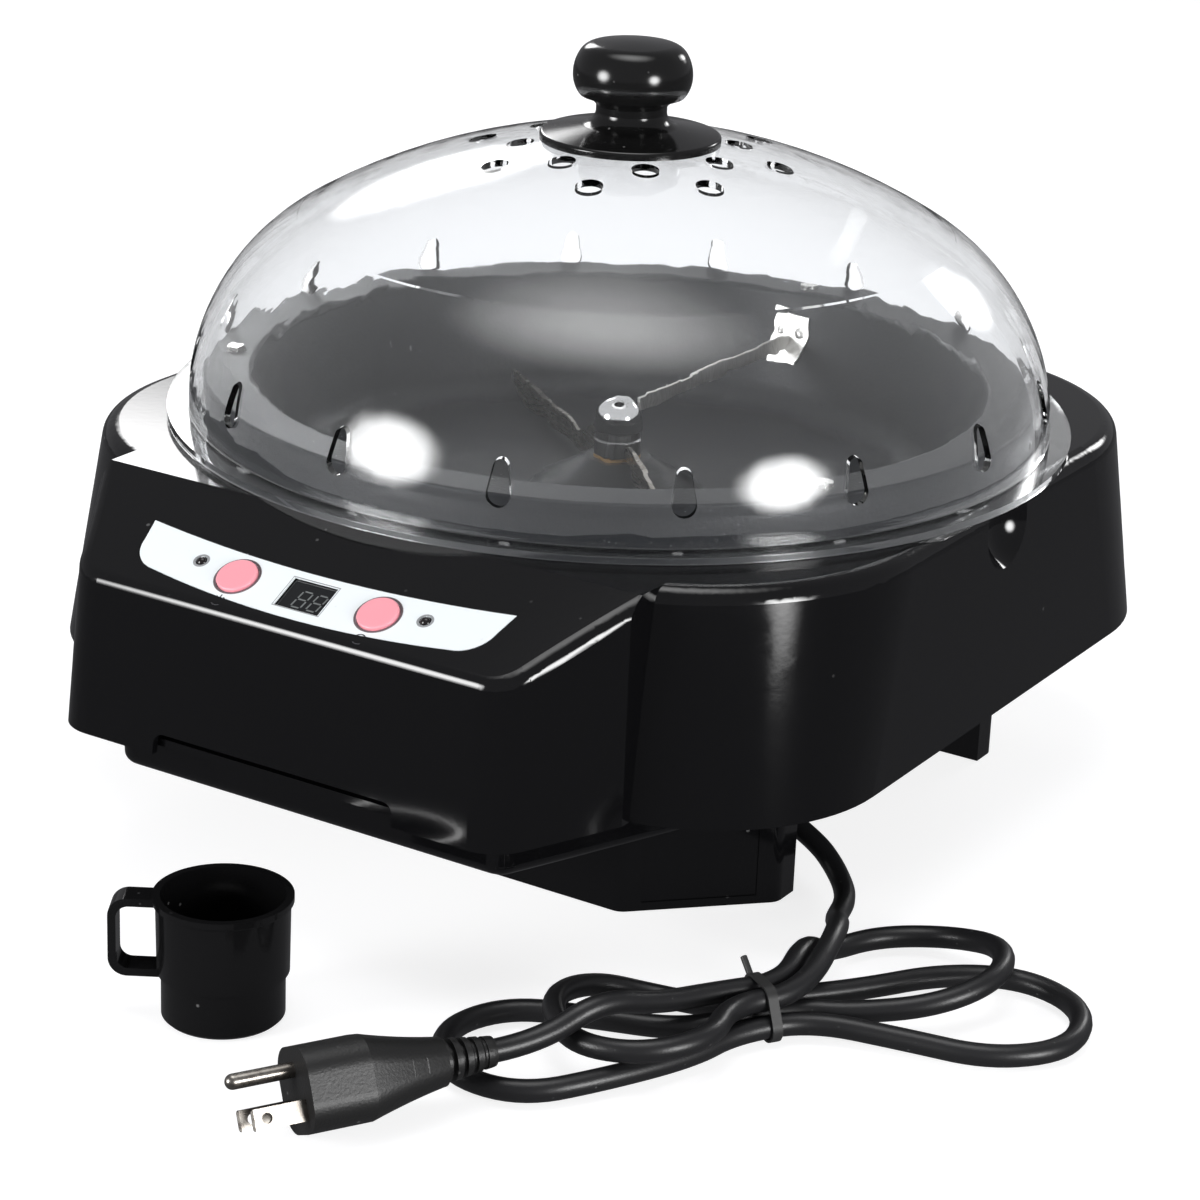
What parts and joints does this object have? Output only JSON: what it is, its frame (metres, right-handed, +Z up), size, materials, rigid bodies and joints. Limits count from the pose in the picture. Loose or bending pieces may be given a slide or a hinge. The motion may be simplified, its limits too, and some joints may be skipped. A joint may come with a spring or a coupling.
{
  "type": "home coffee bean roaster",
  "caption": "Countertop roaster with a clear lift-off dome lid, non-stick pan with turning agitator, sloped control panel, tied mains lead and measuring cup.",
  "frame": {"origin": "on the surface the roaster stands on, under the agitator's shaft", "axes": "+Z up, the control panel faces -Y, +X to the right as seen from the front"},
  "size_m": [0.4132, 0.4856, 0.2649],
  "materials": {
    "clear_plastic": "polished clear plastic",
    "black_gloss": "piano black, moulded",
    "steel": "satin",
    "label_white": "glossy printed film",
    "board_green": "solder-masked board",
    "black_matt": "matt",
    "display_black": "dark display window in a grey frame",
    "button_pink": "glossy film dome",
    "non_stick": "speckled dark grey non-stick coat",
    "brass": "sintered bearing",
    "chrome": "polished",
    "heater_steel": "heat-tinted sheath",
    "aluminised": "mill finish",
    "zinc": "die cast",
    "transformer_yellow": "taped winding",
    "capacitor_blue": "sleeved can",
    "rubber_black": "satin PVC",
    "nickel": "bright nickel"
  },
  "bodies": {
    "base": {"body_shell": "black_gloss", "control_overlay": "label_white", "control_board": "board_green", "board_screws": "steel", "tact_switches": "black_matt", "display_module": "display_black", "indicator_lamps": "black_matt", "roasting_pan": "non_stick", "pan_screws": "steel", "shaft_bush": "brass", "bean_baffle": "steel", "baffle_rivets": "steel", "heating_element": "heater_steel", "heat_shield": "aluminised", "shield_screws": "steel", "heater_clips": "aluminised", "thermostat": "aluminised", "thermal_fuse": "steel", "motor_bracket": "steel", "gearbox": "zinc", "motor_can": "steel", "bracket_screws": "steel", "base_moulding": "black_gloss", "base_screws": "steel", "power_board": "board_green", "board_mount_screws": "steel", "relay": "black_matt", "transformer": "transformer_yellow", "capacitor": "capacitor_blue", "terminal_block": "black_matt", "cord_bushing": "rubber_black", "power_cord": "rubber_black", "cord_hank": "rubber_black", "cord_tie": "black_matt", "plug_strain_relief": "rubber_black", "plug_body": "rubber_black", "plug_blades": "nickel", "plug_ground_pin": "nickel"},
    "lid": {"lid_dome": "clear_plastic", "lid_knob": "black_gloss", "knob_screw": "steel"},
    "agitator": {"drive_shaft": "steel", "agitator_hub": "steel", "hub_washer": "steel", "dome_nut": "chrome", "agitator_arms": "steel"},
    "on_off_button": {"on_off_button": "button_pink"},
    "timer_button": {"timer_button": "button_pink"},
    "measuring_cup": {"measuring_cup": "black_gloss"}
  },
  "joints": [
    {"name": "lid_lift", "type": "slide", "parent": "base", "child": "lid", "axis": [0, 0, 1], "range_m": [0, 0.15]},
    {"name": "agitator_turn", "type": "hinge", "parent": "base", "child": "agitator", "pos_m": [0, 0, 0.12], "axis": [0, 0, 1], "continuous": true},
    {"name": "on_off_press", "type": "slide", "parent": "base", "child": "on_off_button", "axis": [0, 0.4437, -0.8962], "range_m": [0, 0.0008], "stiffness_N_per_m": 1500},
    {"name": "timer_press", "type": "slide", "parent": "base", "child": "timer_button", "axis": [0, 0.4437, -0.8962], "range_m": [0, 0.0008], "stiffness_N_per_m": 1500},
    {"name": "cup_lift", "type": "slide", "parent": "base", "child": "measuring_cup", "axis": [0, 0, 1], "range_m": [0, 0.15]}
  ]
}
